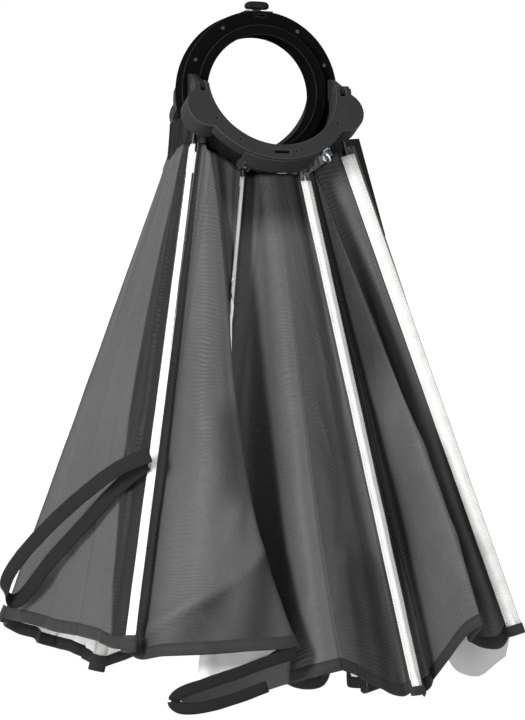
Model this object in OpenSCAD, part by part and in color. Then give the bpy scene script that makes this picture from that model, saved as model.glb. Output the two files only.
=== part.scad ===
// Quick-folding octabox, folded and hanging from its mount ring.
// Origin at the centre of the lamp bore, -Y out of the bore towards the lamp, +Z up, X along the hinge lines.

/* [Mount ring] */
// Radius of the lamp bore, a 152 mm speed-ring insert
bore_r = 76; // [74:0.5:77]
// Outer radius of the collar round the bore
collar_r = 89; // [87:0.5:91]
// How far the collar stands out of the ring's front face
collar_h = 8.5; // [6:0.5:10]
// Outer radius of the mount ring
ring_r = 108.5; // [107:0.5:110]
// Depth of the mount ring from front face to back edge
ring_depth = 29; // [26:1:29]

/* [Half rings] */
// Inner radius of the front half ring
front_in_r = 88; // [87:0.5:89]
// Outer radius of the front half ring
front_out_r = 109; // [107:0.5:110]
// Inner radius of the rear half ring
rear_in_r = 84; // [83:0.5:86]
// Outer radius of the rear half ring
rear_out_r = 104; // [103:0.5:105]
// Distance of the front hinge line ahead of the ring's front face
front_hinge_y = 41; // [40:0.5:43]
// Distance of the rear hinge line behind the ring's front face
rear_hinge_y = 40; // [40:0.5:42]
// How far the half rings hang below the horizontal, in degrees
hang_angle = 67.5; // [66:0.5:69]

/* [Ribs] */
// Length of a rib from its hinge pin to its tip
rib_len = 705; // [690:5:715]
// Radius of a rib rod
rod_r = 1.75; // [1.5:0.25:2]
// Width of the white sleeve on a rib
sleeve_w = 20; // [16:1:22]
// Angle between an open front rib and the bore axis
open_front = 30.5; // [29:0.5:32]
// Angle between an open rear rib and the bore axis
open_rear = 31.5; // [30:0.5:33]

/* [Cloth] */
// Thickness of the cloth panels
cloth_t = 2; // [1.5:0.5:2]
// Width of the binding strap
strap_w = 18; // [14:1:20]

/* [Hidden] */
$fn = 96;

gloss_black = [0.05, 0.05, 0.055];
matte_grey = [0.22, 0.22, 0.23];
steel = [0.75, 0.76, 0.78];
cloth_black = [0.1, 0.1, 0.105];
tape_white = [0.93, 0.93, 0.92];

shell = 4.4;            // wall of the mount ring
fit = 0.05;             // radial clearance of a running pin
face_n = 10;            // half ring's lamp-side face, from its hinge line
plate_n = -6;           // half ring's box-side face, from its hinge line
pin_r = 3;              // hinge pins of the half rings
knuckle_r = 8;          // barrels round those pins
rib_pin_r = 1.5;        // cross pins of the ribs
eye_r = 4;              // eye on a rib's upper end
eye_w = 9;              // width of that eye along its pin
lug_t = 3;              // cheeks that hold a rib's pin
front_piv_r = 108;      // ribs' pins in the front half, from its centre
front_piv_n = -30;      // and behind its hinge line
rear_piv_r = 97;        // the same two for the rear half
rear_piv_n = 4;
azimuth = [-67.5, -22.5, 22.5, 67.5]; // ribs of a half ring, from its middle

// A folded rib's direction, as [splay to the side, lean to the lamp side] in degrees
hang = [[-11, 12], [-8, 9], [8, 13], [14.5, 15], [15, -6], [12, -10], [-10, -11], [-17.5, -10]];

// Turn of each sleeve's width about the vertical, in degrees from +X
sleeve_turn = [-52, 50, 15, -10, 98, 184, 169, -108];

// Where the hem of each gore folds, between rib k and the next one
hem_fold = [
    [-38, -240, -723], [10, -218, -790], [185, -95, -740], [288, -40, -715],
    [255, 215, -760], [10, 240, -775], [-235, 250, -765], [-292, 0, -715]
];

// The same folds at the neck of the cloth
neck_fold = [
    [-54, -92, -162], [0, -80, -168], [86, -36, -140], [122, 10, -102],
    [80, 92, -120], [0, 100, -145], [-80, 94, -120], [-118, 14, -102]
];

// Vector helpers
function unit(v) = v / norm(v);
function turn_x(v, a) = [v[0], v[1] * cos(a) - v[2] * sin(a), v[1] * sin(a) + v[2] * cos(a)];
// The part of v square to the unit vector w, as a unit vector
function square_to(v, w) = unit(v - w * (v * w));
function is_front(k) = k <= 4;
function side_of(k) = k <= 4 ? azimuth[k - 1] : -azimuth[k - 5];

// A point of a half ring: x across, s down the half from its hinge line, n out of its lamp-side face
function on_front(x, s, n) = [
    x,
    -front_hinge_y - s * cos(hang_angle) - n * sin(hang_angle),
    n * cos(hang_angle) - s * sin(hang_angle)
];
function on_rear(x, s, n) = [
    x,
    rear_hinge_y + s * cos(hang_angle) + n * sin(hang_angle),
    n * cos(hang_angle) - s * sin(hang_angle)
];
function pivot(k) = let (a = side_of(k)) is_front(k)
    ? on_front(front_piv_r * sin(a), front_piv_r * cos(a), front_piv_n)
    : on_rear(rear_piv_r * sin(a), rear_piv_r * cos(a), rear_piv_n);
function hang_dir(k) = let (h = hang[k - 1]) [
    sin(h[0]), -sin(h[1]) * cos(h[0]), -cos(h[1]) * cos(h[0])
];

// An open rib's direction, turned back into the folded half ring
function open_dir(k) = let (a = side_of(k)) is_front(k)
    ? turn_x([sin(a) * sin(open_front), cos(open_front), -cos(a) * sin(open_front)], hang_angle - 90)
    : turn_x([sin(a) * sin(open_rear), cos(open_rear), cos(a) * sin(open_rear)], -hang_angle - 90);
function pin_dir(k) = unit(cross(hang_dir(k), open_dir(k)));
function along(k, d) = pivot(k) + d * hang_dir(k);

// Stands a child's +Z along z, with its +X as near x as it can be
module stand(p, z, x) {
    w = unit(z);
    v = unit(cross(w, x));
    u = cross(v, w);
    multmatrix([
        [u[0], v[0], w[0], p[0]],
        [u[1], v[1], w[1], p[1]],
        [u[2], v[2], w[2], p[2]],
        [0, 0, 0, 1]
    ]) children();
}

// A cylinder centred on p with its axis along z
module bar(p, z, r, h) {
    stand(p, z, abs(z[0]) > 0.9 ? [0, 1, 0] : [1, 0, 0]) cylinder(r = r, h = h, center = true);
}

// Axial ring about the bore, from y0 to y1
module ring_y(r_in, r_out, y0, y1) {
    translate([0, y1, 0]) rotate([90, 0, 0]) difference() {
        cylinder(r = r_out, h = y1 - y0);
        translate([0, 0, -1]) cylinder(r = r_in, h = y1 - y0 + 2);
    }
}

// Puts a child drawn flat (x across, y down the half, z out of its lamp face) on a half ring
module in_front() {
    multmatrix([
        [1, 0, 0, 0],
        [0, -cos(hang_angle), -sin(hang_angle), -front_hinge_y],
        [0, -sin(hang_angle), cos(hang_angle), 0],
        [0, 0, 0, 1]
    ]) children();
}
module in_rear() {
    mirror([0, 1, 0]) multmatrix([
        [1, 0, 0, 0],
        [0, -cos(hang_angle), -sin(hang_angle), -rear_hinge_y],
        [0, -sin(hang_angle), cos(hang_angle), 0],
        [0, 0, 0, 1]
    ]) children();
}

// ---- mount ring ----

ring_screw_at = [24, 58, 122, 156, 204, 238, 302, 336];
stem_w = 10;
stem_t = 4;
button_y = 14;

module mount_ring() {
    color(gloss_black) difference() {
        union() {
            ring_y(bore_r + shell + fit, ring_r, 0, shell);
            ring_y(ring_r - shell, ring_r, 0, ring_depth);
        }
        for (a = ring_screw_at) rotate([0, -a, 0]) translate([98.5, 0, 0]) {
            bar([0, 0.5, 0], [0, 1, 0], 2.3, 1.2);
            bar([0, 2, 0], [0, 1, 0], 1.25, 6);
        }
        translate([-8, -1, 101]) cube([16, shell + 2, 2.6]);
        translate([-stem_w / 2 - 0.3, button_y - stem_t / 2 - 0.3, 100]) cube([stem_w + 0.6, stem_t + 0.6, 12]);
    }
}

module lamp_collar() {
    color(gloss_black) {
        ring_y(bore_r, bore_r + shell, -collar_h, ring_depth);
        ring_y(bore_r + shell - 0.1, collar_r, -collar_h, 0);
    }
}

arm_x = [93.3, 7.4];    // inner face and thickness of a front hinge arm
rear_arm_x = [90.3, 7.4];

// A hinge arm as x across, from the ring to the hinge line at distance d, as high as h at the ring
module hinge_arm(x, d, h) {
    difference() {
        translate([x[0], 0, 0]) rotate([90, 0, 90]) linear_extrude(x[1]) union() {
            polygon([[0, h], [-0.3 * d, h - 0.5], [-d - 3, 6.5], [-d, -7.4], [0, -7.4]]);
            translate([-d, 0]) circle(7.4);
        }
        bar([x[0], -d, 0], [1, 0, 0], pin_r, 40);
    }
}

module hinge_arms() {
    color(matte_grey) for (side = [0, 1]) mirror([side, 0, 0]) {
        hinge_arm(arm_x, front_hinge_y, 20);
        translate([0, ring_depth, 0]) mirror([0, 1, 0]) hinge_arm(rear_arm_x, rear_hinge_y - ring_depth, 11.4);
        translate([0, shell, 0]) difference() {
            translate([rear_arm_x[0], 0, -7.4]) cube([10.4, ring_depth - shell, 27]);
            ring_y(ring_r - shell - 0.1, ring_r + 20, -1, ring_depth);
        }
    }
}

module front_hinge_pins() {
    color(steel) for (side = [-1, 1]) bar([side * 98, -front_hinge_y, 0], [1, 0, 0], pin_r, 17);
}

module rear_hinge_pins() {
    color(steel) for (side = [-1, 1]) bar([side * 94, rear_hinge_y, 0], [1, 0, 0], pin_r, 17);
}

module ring_screws() {
    color(steel) for (a = ring_screw_at) rotate([0, -a, 0]) translate([98.5, 0, 0]) {
        bar([0, 0.6, 0], [0, 1, 0], 2.25, 1);
        bar([0, 2.3, 0], [0, 1, 0], 1.2, 4);
    }
}

// ---- lock button, stem and spring ----

guide_z = ring_r - 1.5;
button_z = ring_r + 4.2; // underside of the button

module button_guide() {
    color(matte_grey) difference() {
        translate([-19, button_y - 11, guide_z]) cube([38, 22, 2.1]);
        translate([-stem_w / 2 - 0.3, button_y - stem_t / 2 - 0.3, 90]) cube([stem_w + 0.6, stem_t + 0.6, 30]);
        translate([0, button_y + 20, 0]) rotate([90, 0, 0]) cylinder(r = ring_r + 0.05, h = 60);
    }
}

module lock_button() {
    color(gloss_black) difference() {
        union() {
            translate([0, button_y, button_z]) linear_extrude(5) square([32, 16], center = true);
            translate([0, button_y + 8, button_z + 2]) rotate([90, 0, 0]) intersection() {
                cylinder(r = 16, h = 16);
                translate([-20, 0, -1]) cube([40, 8.3, 18]);
            }
            for (i = [0:2]) translate([0, button_y - 8, button_z + 2.5 + 2.4 * i])
                rotate([0, 90, 0]) cylinder(r = 0.8, h = 26 - 3 * i, center = true);
        }
        translate([0, button_y, button_z - 1]) cylinder(r = 7.6, h = 9.5);
    }
}

module lock_stem() {
    color(steel) difference() {
        translate([-stem_w / 2, button_y - stem_t / 2, 91]) cube([stem_w, stem_t, button_z + 8.4 - 91]);
        bar([0, button_y, 94], [0, 1, 0], 1.6, 10);
    }
}

module button_spring() {
    coil_r = 6.4;
    wire_r = 0.5;
    color(steel) for (i = [0:4])
        translate([0, button_y, button_z - 3 + i * 2.7]) rotate_extrude() translate([coil_r, 0]) circle(wire_r, $fn = 16);
}

// ---- half rings ----

lobe_x = 92;
lobe_s = 34;
lobe_r = 30;
rear_lobe_x = 80;
rear_lobe_s = 32;
rear_lobe_r = 26;
lobe_n = -20;
block_out_r = 114;
block_half = 27;        // half the angle the front rim block spans

// Half annulus below y = 0, with its end lobes, from n0 to n1
module half_plate(r_in, r_out, n0, n1) {
    difference() {
        translate([0, 0, n0]) cylinder(r = r_out, h = n1 - n0);
        translate([0, 0, n0 - 1]) cylinder(r = r_in, h = n1 - n0 + 2);
        translate([-150, -300, n0 - 1]) cube([300, 300, n1 - n0 + 2]);
    }
}
module lobes(x, s, r, r_in, n0, n1) {
    difference() {
        for (side = [-1, 1]) translate([side * x, s, n0]) cylinder(r = r, h = n1 - n0);
        translate([0, 0, n0 - 1]) cylinder(r = r_in, h = n1 - n0 + 2);
    }
}
module knuckles(x0, x1) {
    for (side = [-1, 1]) bar([side * (x0 + x1) / 2, 0, 0], [1, 0, 0], knuckle_r, x1 - x0);
}
module knuckle_cuts(arm, x0, x1) {
    for (side = [-1, 1]) {
        translate([side * (arm[0] + arm[1] / 2) - arm[1] / 2 - 0.4, -20, -60]) cube([arm[1] + 0.8, 32, 120]);
        bar([side * (x0 + x1) / 2, 0, 0], [1, 0, 0], pin_r + fit, x1 - x0 + 2);
    }
}
half_screw_at = [-58, -34, 12, 58];

module half_screw_holes(r) {
    for (a = half_screw_at) rotate([0, 0, -a]) translate([0, r, face_n]) {
        translate([0, 0, -1.1]) cylinder(r = 2.3, h = 2);
        translate([0, 0, -6]) cylinder(r = 1.25, h = 8);
    }
}
module half_screws(r) {
    for (a = half_screw_at) rotate([0, 0, -a]) translate([0, r, face_n]) {
        translate([0, 0, -1.1]) cylinder(r = 2.25, h = 1);
        translate([0, 0, -5]) cylinder(r = 1.2, h = 4);
    }
}

// The two cheeks of a front rib, standing back from height n_root of the half ring
module rib_cheeks(k, n_root) {
    toward = square_to(on_front(0, 0, 1) - on_front(0, 0, 0), pin_dir(k));
    reach = n_root - front_piv_n + 5;
    for (side = [-1, 1]) translate(side * (eye_w / 2 + 0.3 + lug_t / 2) * pin_dir(k)) {
        bar(pivot(k), pin_dir(k), 7, lug_t);
        stand(pivot(k) + toward * reach / 2, pin_dir(k), toward) cube([reach, 12, lug_t], center = true);
    }
}
module rib_pin_hole(k) {
    bar(pivot(k), pin_dir(k), rib_pin_r + fit, 22);
}

module front_half_ring() {
    color(matte_grey) difference() {
        union() {
            in_front() union() {
                half_plate(front_in_r, front_out_r, plate_n, face_n);
                lobes(lobe_x, lobe_s, lobe_r, front_in_r, lobe_n, face_n);
                knuckles(front_in_r + 0.5, 108);
            }
            rib_cheeks(1, lobe_n + 2);
            rib_cheeks(4, lobe_n + 2);
        }
        in_front() knuckle_cuts(arm_x, front_in_r, 110);
        in_front() half_screw_holes(98.5);
        in_front() translate([-11, 96, plate_n - 1]) cube([22, 5, 30]);
        in_front() translate([0, 0, plate_n - 15]) rotate([0, 0, 90 - block_half]) rotate_extrude(angle = 2 * block_half)
            translate([100, 0]) square([30, 15 + face_n - plate_n - 5]);
        rib_pin_hole(1);
        rib_pin_hole(4);
    }
}

module front_rim_block() {
    color(matte_grey) difference() {
        union() {
            in_front() rotate([0, 0, 90 - block_half + 0.3]) rotate_extrude(angle = 2 * block_half - 0.6)
                polygon([
                    [100.2, lobe_n], [block_out_r, lobe_n], [block_out_r, lobe_n + 4],
                    [front_out_r + 0.3, face_n - 5.3], [100.2, face_n - 5.3]
                ]);
            rib_cheeks(2, lobe_n + 2);
            rib_cheeks(3, lobe_n + 2);
        }
        rib_pin_hole(2);
        rib_pin_hole(3);
    }
}

module front_half_screws() {
    color(steel) in_front() half_screws(98.5);
}

module cloth_clip() {
    color(steel) in_front() rotate([0, 0, -34]) translate([0, front_out_r + 8.1, -4]) {
        rotate([0, 90, 0]) rotate_extrude(angle = 360) translate([6.5, 0]) circle(1.3, $fn = 24);
        translate([-4.5, -7.8, -4]) cube([9, 1.5, 15]);
    }
}

module rib_pins(first) {
    color(steel) for (k = [first:first + 3]) bar(pivot(k), pin_dir(k), rib_pin_r, eye_w + 2 * lug_t);
}
module front_rib_pins() {
    rib_pins(1);
}
module rear_rib_pins() {
    rib_pins(5);
}

rear_block_half = 15;
notch_in = 5.2;         // how far a rib's notch reaches inside its pin

// The slot in which a rear rib turns
module rear_notch(k) {
    toward = square_to(on_rear(0, 0, -1) - on_rear(0, 0, 0), pin_dir(k));
    out = unit(cross(pin_dir(k), toward));
    outward = out * (out * [0, 0, -1] > 0 ? 1 : -1);
    stand(pivot(k) + toward * 17.5 + outward * 17.4, pin_dir(k), toward)
        cube([46, 34.8 + 2 * notch_in, eye_w + 0.6], center = true);
    rib_pin_hole(k);
}

module rear_half_ring() {
    color(matte_grey) difference() {
        in_rear() difference() {
            union() {
                half_plate(rear_in_r, rear_out_r, plate_n, face_n);
                lobes(rear_lobe_x, rear_lobe_s, rear_lobe_r, rear_in_r, plate_n, face_n);
                knuckles(rear_in_r + 0.5, 104);
            }
            knuckle_cuts(rear_arm_x, rear_in_r, 106);
            half_screw_holes(93);
            rotate([0, 0, 90 - rear_block_half]) rotate_extrude(angle = 2 * rear_block_half)
                translate([98, plate_n - 1]) square([20, face_n - plate_n - 4]);
        }
        for (k = [5:8]) rear_notch(k);
    }
}

module rear_rim_block() {
    color(matte_grey) in_rear() rotate([0, 0, 90 - rear_block_half + 0.3])
        rotate_extrude(angle = 2 * rear_block_half - 0.6)
            translate([98.2, -14]) square([9.8, face_n - 5.3 + 14]);
}

module rear_half_screws() {
    color(steel) in_rear() half_screws(93);
}

// ---- ribs ----

rod_start = 3;
cap_len = 16;
sleeve_start = 48;
sleeve_end = 12;
sleeve_t = 4;

module rib_rod(k) {
    color(steel) difference() {
        union() {
            bar(pivot(k), pin_dir(k), eye_r, eye_w);
            bar(along(k, (rod_start + rib_len - 2) / 2), hang_dir(k), rod_r, rib_len - 2 - rod_start);
        }
        rib_pin_hole(k);
    }
}

module rib_cap(k) {
    color(gloss_black) difference() {
        bar(along(k, rib_len - cap_len / 2), hang_dir(k), 3.5, cap_len);
        bar(along(k, rib_len - 2 - cap_len / 2), hang_dir(k), rod_r + fit, cap_len);
    }
}

// The way across a sleeve, square to its rib, towards the next rib
function across(k) = let (w = [cos(sleeve_turn[k - 1]), sin(sleeve_turn[k - 1]), 0], d = hang_dir(k))
    unit(w - d * (w * d));

module sleeve(k) {
    len = rib_len - cap_len - sleeve_start - sleeve_end;
    color(tape_white) difference() {
        stand(along(k, sleeve_start + len / 2), hang_dir(k), across(k))
            cube([sleeve_w, sleeve_t + 1.2, len], center = true);
        bar(along(k, sleeve_start + len / 2), hang_dir(k), rod_r + fit, len + 2);
    }
}

// ---- cloth ----

cloth_start = 64;
fold_gap = 7;
seam_gap = 2.5;

// A closed four-cornered panel, cloth_t thick
module panel(a, b, c, d) {
    n = unit(cross(c - a, d - b)) * cloth_t / 2;
    polyhedron(
        points = [a - n, b - n, c - n, d - n, a + n, b + n, c + n, d + n],
        faces = [
            [0, 1, 2], [0, 2, 3], [4, 6, 5], [4, 7, 6],
            [0, 5, 1], [0, 4, 5], [1, 6, 2], [1, 5, 6],
            [2, 7, 3], [2, 6, 7], [3, 4, 0], [3, 7, 4]
        ]
    );
}

// Half a gore, from its seam on rib k's sleeve to its fold; way is 1 towards the next rib, -1 back
module half_gore(k, fold, neck, way) {
    seam = across(k) * way * (sleeve_w / 2 + seam_gap);
    top = along(k, cloth_start) + seam;
    low = along(k, rib_len - 6) + seam;
    panel(
        top,
        neck - unit(neck - top) * fold_gap,
        fold - unit(fold - low) * fold_gap,
        low
    );
}

module cloth(k) {
    before = (k + 6) % 8;
    color(cloth_black) {
        half_gore(k, hem_fold[k - 1], neck_fold[k - 1], 1);
        half_gore(k, hem_fold[before], neck_fold[before], -1);
    }
}

// A flat band swept along a path, with its width along w
module band(path, w, width, t) {
    last = len(path) - 1;
    dir = [for (i = [0:last]) unit(path[min(i + 1, last)] - path[max(i - 1, 0)])];
    side = [for (d = dir) unit(w - d * (w * d)) * width / 2];
    up = [for (i = [0:last]) unit(cross(dir[i], side[i])) * t / 2];
    points = [for (i = [0:last]) for (c = [[1, 1], [-1, 1], [-1, -1], [1, -1]]) path[i] + c[0] * side[i] + c[1] * up[i]];
    walls = [for (i = [0:last - 1]) for (j = [0:3]) let (a = 4 * i + j, b = 4 * i + (j + 1) % 4)
        each [[a, b, b + 4], [a, b + 4, a + 4]]];
    end = 4 * last;
    polyhedron(points, concat([[3, 2, 1], [3, 1, 0]], walls, [[end, end + 1, end + 2], [end, end + 2, end + 3]]));
}

strap_path = [
    [-204, -138, -470], [-220, -97, -484], [-246, -30, -515], [-276, 14, -558], [-301, 52, -600], [-319, 84, -636],
    [-322, 96, -656], [-312, 90, -668], [-302, 66, -650], [-284, 28, -606], [-260, -12, -560], [-232, -66, -512]
];

module binding_strap() {
    color(cloth_black) band(strap_path, [-0.35, 0.25, 0.9], strap_w, 2.2);
}

module hem_tongue() {
    color(cloth_black) {
        panel([-44, -252, -732], [-182, -238, -782], [-190, -236, -806], [-44, -250, -784]);
        panel([-48, -257, -736], [-176, -243, -782], [-184, -241, -802], [-48, -255, -780]);
    }
}

module inner_flap() {
    color(tape_white) panel([276, -172, -722], [238, -66, -726], [234, -72, -768], [272, -166, -764]);
}

mount_ring();
lamp_collar();
hinge_arms();
front_hinge_pins();
rear_hinge_pins();
ring_screws();
button_guide();
button_spring();
lock_button();
lock_stem();
front_half_ring();
front_rim_block();
front_half_screws();
cloth_clip();
front_rib_pins();
rear_half_ring();
rear_rim_block();
rear_half_screws();
rear_rib_pins();
for (k = [1:8]) {
    rib_rod(k);
    rib_cap(k);
    sleeve(k);
    cloth(k);
}
binding_strap();
hem_tongue();
inner_flap();
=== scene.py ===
import math
import bpy
import bmesh
import numpy as np
from mathutils import Vector, Matrix, noise


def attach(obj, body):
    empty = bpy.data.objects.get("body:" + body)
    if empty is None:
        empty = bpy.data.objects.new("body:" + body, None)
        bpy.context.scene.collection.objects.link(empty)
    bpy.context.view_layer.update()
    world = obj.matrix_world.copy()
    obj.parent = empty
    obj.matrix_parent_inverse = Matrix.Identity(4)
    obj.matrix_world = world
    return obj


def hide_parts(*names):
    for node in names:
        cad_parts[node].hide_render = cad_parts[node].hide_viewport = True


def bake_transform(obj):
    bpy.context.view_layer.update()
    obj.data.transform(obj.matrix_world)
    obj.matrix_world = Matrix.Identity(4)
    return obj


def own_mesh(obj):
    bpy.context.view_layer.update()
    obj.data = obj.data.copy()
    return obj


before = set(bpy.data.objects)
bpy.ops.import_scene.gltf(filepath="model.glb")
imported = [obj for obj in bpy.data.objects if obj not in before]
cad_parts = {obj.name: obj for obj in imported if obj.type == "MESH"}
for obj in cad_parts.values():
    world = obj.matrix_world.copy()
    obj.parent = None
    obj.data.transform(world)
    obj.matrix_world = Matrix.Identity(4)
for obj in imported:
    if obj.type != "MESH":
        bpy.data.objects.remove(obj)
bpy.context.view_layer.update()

MM = 0.001

# ---------------------------------------------------------------- ribs, as in the CAD (mm, degrees)

# Each rib's pin; how far the rib leans to +x and to the front; how its tape is turned about it.
PIVOT = {
    1: (-99.8, -29.1, -49.7), 2: (-41.3, -51.5, -103.7), 3: (41.3, -51.5, -103.7), 4: (99.8, -29.1, -49.7),
    5: (89.6, 57.9, -32.8), 6: (37.1, 78, -81.3), 7: (-37.1, 78, -81.3), 8: (-89.6, 57.9, -32.8),
}
HANG = {
    1: (-11, 12), 2: (-8, 9), 3: (8, 13), 4: (14.5, 15),
    5: (15, -6), 6: (12, -10), 7: (-10, -11), 8: (-17.5, -10),
}
TURN = {1: -52, 2: 50, 3: 15, 4: -10, 5: 98, 6: 184, 7: 169, 8: -108}
RIB_LEN = 705
RING_Y = 8                      # the middle of the ribs' pins, from the front to the rear
TILT = math.radians(67.5)       # how far each half ring is folded down


def unit(v):
    v = np.asarray(v, float)
    return v / np.linalg.norm(v)


def rib_dir(k):
    a, b = (math.radians(x) for x in HANG[k])
    return np.array([math.sin(a), -math.sin(b) * math.cos(a), -math.cos(b) * math.cos(a)])


def along(k, d):
    return np.array(PIVOT[k]) + d * rib_dir(k)


def across(k):
    """The direction of the tape's width."""
    a = math.radians(TURN[k])
    w, d = np.array([math.cos(a), math.sin(a), 0]), rib_dir(k)
    return unit(w - d * (w @ d))


def outward(k):
    """The direction square to rib k and to its tape's width, away from the middle of the octabox."""
    out = np.cross(rib_dir(k), across(k))
    half_way = along(k, 350)
    return -out if out @ from_middle(half_way) < 0 else out


def from_middle(p):
    return np.array([p[0], p[1] - RING_Y, 0])


# ---------------------------------------------------------------- materials

class Mat:
    """A node material; add() makes a node, setting sockets given by name or number."""

    def __init__(self, name):
        self.m = bpy.data.materials.new(name)
        self.m.use_nodes = True
        self.t = self.m.node_tree
        self.t.nodes.clear()
        self.out = self.t.nodes.new("ShaderNodeOutputMaterial")

    def add(self, kind, sockets=(), **props):
        n = self.t.nodes.new("ShaderNode" + kind)
        for key, value in props.items():
            setattr(n, key, value)
        for key, value in dict(sockets).items():
            s = n.inputs[key]
            if isinstance(value, bpy.types.NodeSocket):
                self.t.links.new(value, s)
            else:
                s.default_value = value
        return n

    def math(self, op, a, b=0.0):
        return self.add("Math", {0: a, 1: b}, operation=op).outputs[0]

    def ramp(self, fac, stops):
        """A grey ramp through (place, value) stops."""
        n = self.add("ValToRGB", {"Fac": fac})
        e = n.color_ramp.elements
        while len(e) < len(stops):
            e.new(0.5)
        for item, (at, value) in zip(e, stops):
            item.position = at
            item.color = (value, value, value, 1)
        return n.outputs["Color"]

    def noise(self, vec, scale, detail, rough=0.55, distortion=0.0):
        return self.add("TexNoise", {"Vector": vec, "Scale": scale, "Detail": detail, "Roughness": rough,
                                     "Distortion": distortion}).outputs["Fac"]

    def cloth_uv(self):
        """The UVs, which are metres over the cloth, and their two parts."""
        uv = self.add("TexCoord").outputs["UV"]
        parts = self.add("SeparateXYZ", {"Vector": uv})
        return uv, parts.outputs[0], parts.outputs[1]

    def weave(self, x, y, threads):
        wave_x = self.math("SINE", self.math("MULTIPLY", x, threads))
        wave_y = self.math("SINE", self.math("MULTIPLY", y, threads))
        return self.math("MULTIPLY", wave_x, wave_y)

    def stitches(self, over, run, at):
        """A dashed line of stitching that runs along run, at one distance over the cloth."""
        away = self.math("ABSOLUTE", self.math("SUBTRACT", over, at))
        line = self.ramp(away, [(0.0006, 1.0), (0.0011, 0.0)])
        dash = self.ramp(self.math("SINE", self.math("MULTIPLY", run, 1900)), [(0.3, 0.0), (0.5, 1.0)])
        return self.math("MULTIPLY", line, dash)

    def multiplied(self, base, tone):
        return self.add("MixRGB", {"Fac": 1.0, 1: (*base, 1), 2: tone}, blend_type="MULTIPLY").outputs[0]

    def finish(self, shader):
        self.t.links.new(shader, self.out.inputs["Surface"])
        return self.m


def shade(base, factor, plus=0.0):
    """An opaque colour, lighter or darker than base."""
    return (*[min(1, c * factor + plus) for c in base], 1)


def hard(name, base, rough, grain, scratch, metallic=0.0, edge=0.0003, grain_scale=900, spec=0.2,
         shine=0.0, edge_highlight=0.0):
    """Moulded plastic or metal: a soft edge, fine grain, faint scuffs, patchy sheen and painted highlights
    along its edges.
    """
    m = Mat(name)
    xyz = m.add("TexCoord").outputs["Object"]
    fine = m.noise(xyz, grain_scale, 2, 0.6)
    patch = m.noise(xyz, 35, 5, 0.6)
    long = m.add("Mapping", {"Vector": xyz, "Scale": (1, 9, 1)}).outputs[0]
    scuff = m.noise(long, 140, 4, 0.7)
    worn = m.ramp(scuff, [(0.62, 0.0), (0.74, 1.0)])
    soft = m.add("Bevel", {"Radius": edge}, samples=3).outputs[0]
    bump = m.add("Bump", {"Strength": 0.5, "Distance": grain, "Height": fine, "Normal": soft}).outputs[0]
    tone = m.add("MixRGB", {"Fac": patch, 1: shade(base, 0.8), 2: shade(base, 1.25)})
    scuffed = m.math("MULTIPLY", worn, scratch)
    tone = m.add("MixRGB", {"Fac": scuffed, 1: tone.outputs[0], 2: shade(base, 2, 0.03)})
    # painted highlight: edges, where the bevelled normal turns from the flat one, are lightened towards the
    # given tone
    if edge_highlight:
        flat = m.add("NewGeometry").outputs["True Normal"]
        turn = m.add("VectorMath", {0: soft, 1: flat}, operation="DOT_PRODUCT").outputs["Value"]
        edges = m.ramp(turn, [(0.75, 1.0), (0.97, 0.0)])
        rim = m.math("MULTIPLY", edges, m.math("ADD", 0.4, m.math("MULTIPLY", patch, 0.9)))
        tone = m.add("MixRGB", {"Fac": rim, 1: tone.outputs[0], 2: (edge_highlight, edge_highlight, edge_highlight, 1)})
    r = m.math("ADD", m.math("MULTIPLY", patch, 0.22), rough - 0.11)
    p = m.add("BsdfPrincipled", {"Base Color": tone.outputs[0], "Roughness": r, "Metallic": metallic,
                                 "Normal": bump, "Specular IOR Level": spec})
    if not shine:
        return m.finish(p.outputs[0])
    gloss = m.add("BsdfGlossy", {"Color": (1, 1, 1, 1), "Roughness": rough * 0.7, "Normal": bump})
    return m.finish(m.add("MixShader", {0: shine, 1: p.outputs[0], 2: gloss.outputs[0]}).outputs[0])


def cloth_mat(name, base, ripple=1.0, stitch=True):
    """Coated nylon: weave, curved ripples, crumples, stitching beside the tape; darkened by the painted shade
    the gores carry on their points.
    """
    m = Mat(name)
    uv, x, y = m.cloth_uv()
    warp = m.noise(uv, 9, 3, 0.5)
    wave = m.math("SINE", m.math("ADD", m.math("MULTIPLY", y, 1150), m.math("MULTIPLY", warp, 60)))
    where = m.ramp(m.noise(uv, 7, 2, 0.5), [(0.42, 0.0), (0.62, 1.0)])
    rip = m.math("MULTIPLY", m.math("MULTIPLY", wave, where), 0.28 * ripple)
    crumple = m.noise(uv, 22, 6, 0.62, 0.7)
    sharp = m.math("ABSOLUTE", m.math("SUBTRACT", m.noise(uv, 13, 4, 0.5, 1.2), 0.5))
    crease = m.ramp(sharp, [(0.0, 1.0), (0.035, 0.0)])
    h = m.math("ADD", m.math("MULTIPLY", crumple, 1.5), rip)
    h = m.math("ADD", h, m.math("MULTIPLY", m.weave(x, y, 4200), 0.03))
    h = m.math("ADD", h, m.math("MULTIPLY", crease, 0.2))
    tone = m.math("ADD", 0.62, m.math("MULTIPLY", m.noise(uv, 5, 4, 0.6), 0.36))
    tone = m.math("ADD", tone, m.math("MULTIPLY", m.noise(uv, 620, 2, 0.7), 0.4))
    if stitch:
        for at in (0.0045, 0.034):
            mark = m.stitches(x, y, at)
            h = m.math("SUBTRACT", h, m.math("MULTIPLY", mark, 0.35))
            tone = m.math("SUBTRACT", tone, m.math("MULTIPLY", mark, 0.3))
    # painted shade: the per-point attribute set on the gores darkens the cloth where shadow falls
    darker = m.add("Attribute", attribute_name="painted_shade").outputs["Fac"]
    tone = m.math("MULTIPLY", tone, m.math("SUBTRACT", 1.0, darker))
    bump = m.add("Bump", {"Strength": 0.75, "Distance": 0.0016, "Height": h}).outputs[0]
    r = m.math("ADD", 0.40, m.math("MULTIPLY", crumple, 0.25))
    p = m.add("BsdfPrincipled", {"Base Color": m.multiplied(base, tone), "Roughness": r, "Normal": bump,
                                 "Specular IOR Level": 0.1})
    return m.finish(p.outputs[0])


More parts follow.
